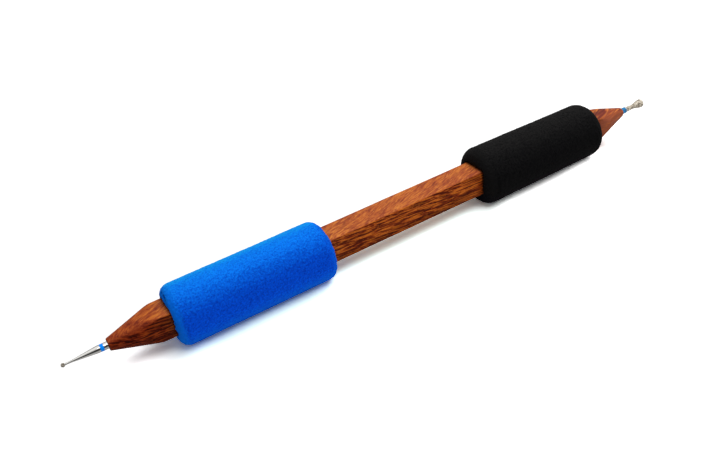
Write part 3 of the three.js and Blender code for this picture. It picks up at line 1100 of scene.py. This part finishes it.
# What steel mirrors, as (share of half a turn, grey): a dark room in front, a bright ceiling and a
# greyer room behind. To the side it is even
ROOM = [
    (0.00, 0.06),
    (0.08, 0.02),
    (0.13, 0.03),
    (0.19, 0.10),
    (0.26, 0.34),
    (0.34, 0.70),
    (0.42, 1.00),
    (0.74, 1.00),
    (0.84, 0.50),
    (0.99, 0.40),
]
ROOM_SIDE = (0.7, 0.7, 0.7)
WORLD_LEVEL = 0.33
LAMP_SIZE = (0.85, 0.5)
LAMP_POWER = 5.1
LAMP_PLACE = (0.22, -0.09, 0.6)
LAMP_AIM = (0, 0, 0.01)
IMAGE_WIDTH = 720
IMAGE_SHIFT = (-0.25, 0.30)
CAMERA_LENS = 40
CAMERA_SENSOR = 36
CAMERA_PLACE = (-0.1114, -0.20533, 0.16411)
CAMERA_RIGHT = (0.85132, -0.50625, -0.13772)
CAMERA_FORWARD = (0.35671, 0.75102, -0.55564)


def mirrored_ray(s, path):
    return s.math("MAXIMUM", path["Is Glossy Ray"], path["Is Transmission Ray"])


def floor_material():
    s = new_shader("floor")
    path = s.add("LightPath").outputs
    x, y, _ = s.add("SeparateXYZ", {0: s.millimetres()}).outputs
    # Steel mirrors it grey under the tool, darker beside it and paler past the far end
    grey = s.remap(s.math("ABSOLUTE", y), 8.0, 50.0, 0.52, 0.08)
    grey = s.math("MAXIMUM", grey, s.remap(x, 100.0, 112.0, 0.0, 0.65))
    colour = s.mix(mirrored_ray(s, path), (0.68, 0.68, 0.68), s.grey(grey))

    # Close to the tool the camera sees the tints, painted light and shade that set how dark the
    # shadow looks, and further off it sees white
    near_y = s.remap(s.math("ABSOLUTE", s.math("ADD", y, 7.0)), 11.0, 20.0, 1.0, 0.0, smooth=True)
    near_x = s.remap(s.math("ABSOLUTE", x), 125.0, 150.0, 1.0, 0.0, smooth=True)
    tint = s.ramp(s.remap(x, -TINT_SPAN, TINT_SPAN), FLOOR_PAINTED_SHADE)
    tint = s.stretched(tint, (FLOOR_GAIN, FLOOR_GAIN, FLOOR_GAIN))
    past_end = s.math("SUBTRACT", s.math("ABSOLUTE", x), 90.0)
    away = s.math("MAXIMUM", s.math("ABSOLUTE", y), past_end)
    far = s.remap(away, 60.0, 220.0, 1.05, 4.0)
    seen = s.mix(s.times(near_y, near_x), s.grey(far), tint)
    colour = s.mix(path["Is Camera Ray"], colour, seen)
    return s.surface(s.add("BsdfDiffuse", {"Color": colour}))


def make_floor():
    reach = FLOOR_REACH
    corners = [(-reach, -reach, 0), (reach, -reach, 0), (reach, reach, 0), (-reach, reach, 0)]
    mesh = bpy.data.meshes.new("floor")
    mesh.from_pydata(corners, [], [(0, 1, 2, 3)])
    mesh.materials.append(floor_material())
    plane = bpy.data.objects.new("floor", mesh)
    bpy.context.scene.collection.objects.link(plane)


def studio_world():
    """Even light, white for the camera and the room for what is mirrored."""
    s = Shader(bpy.data.worlds.new("studio"))
    path = s.add("LightPath").outputs
    x, y, z = s.add("SeparateXYZ", {0: s.add("TexCoord").outputs["Generated"]}).outputs
    tilt = s.math("ARCTAN2", z, s.times(y, -1.0))
    room = s.ramp(s.math("DIVIDE", tilt, math.pi), [(at, (grey,) * 3) for at, grey in ROOM])
    room = s.mix(s.remap(x, 0.3, 0.55), room, ROOM_SIDE)
    plain = s.remap(path["Is Camera Ray"], 0.0, 1.0, WORLD_LEVEL, 1.0)
    colour = s.mix(mirrored_ray(s, path), plain, room)
    return s.surface(s.add("Background", {"Color": colour}), "OutputWorld")


def add_softbox():
    lamp = bpy.data.lights.new("softbox", "AREA")
    lamp.shape = "RECTANGLE"
    lamp.size, lamp.size_y = LAMP_SIZE
    lamp.energy = LAMP_POWER
    softbox = bpy.data.objects.new("softbox", lamp)
    softbox.location = LAMP_PLACE
    towards = Vector(LAMP_AIM) - softbox.location
    softbox.rotation_euler = towards.to_track_quat("-Z", "Y").to_euler()
    bpy.context.scene.collection.objects.link(softbox)


def add_camera():
    """A camera at the photograph's place and tilt."""
    camera_data = bpy.data.cameras.new("camera")
    camera_data.lens = CAMERA_LENS
    camera_data.sensor_width = CAMERA_SENSOR
    camera_data.sensor_fit = "HORIZONTAL"
    camera_data.clip_start = 0.01
    camera_data.shift_x = IMAGE_SHIFT[0] / IMAGE_WIDTH
    camera_data.shift_y = IMAGE_SHIFT[1] / IMAGE_WIDTH
    right = Vector(CAMERA_RIGHT).normalized()
    forward = Vector(CAMERA_FORWARD)
    forward = (forward - right * forward.dot(right)).normalized()
    turn = Matrix((right, right.cross(forward), -forward)).transposed()
    camera = bpy.data.objects.new("camera", camera_data)
    camera.matrix_world = Matrix.Translation(CAMERA_PLACE) @ turn.to_4x4()
    bpy.context.scene.collection.objects.link(camera)
    bpy.context.scene.camera = camera


make_floor()
bpy.context.scene.world = studio_world()
add_softbox()
add_camera()
bpy.context.scene.view_settings.view_transform = "Standard"
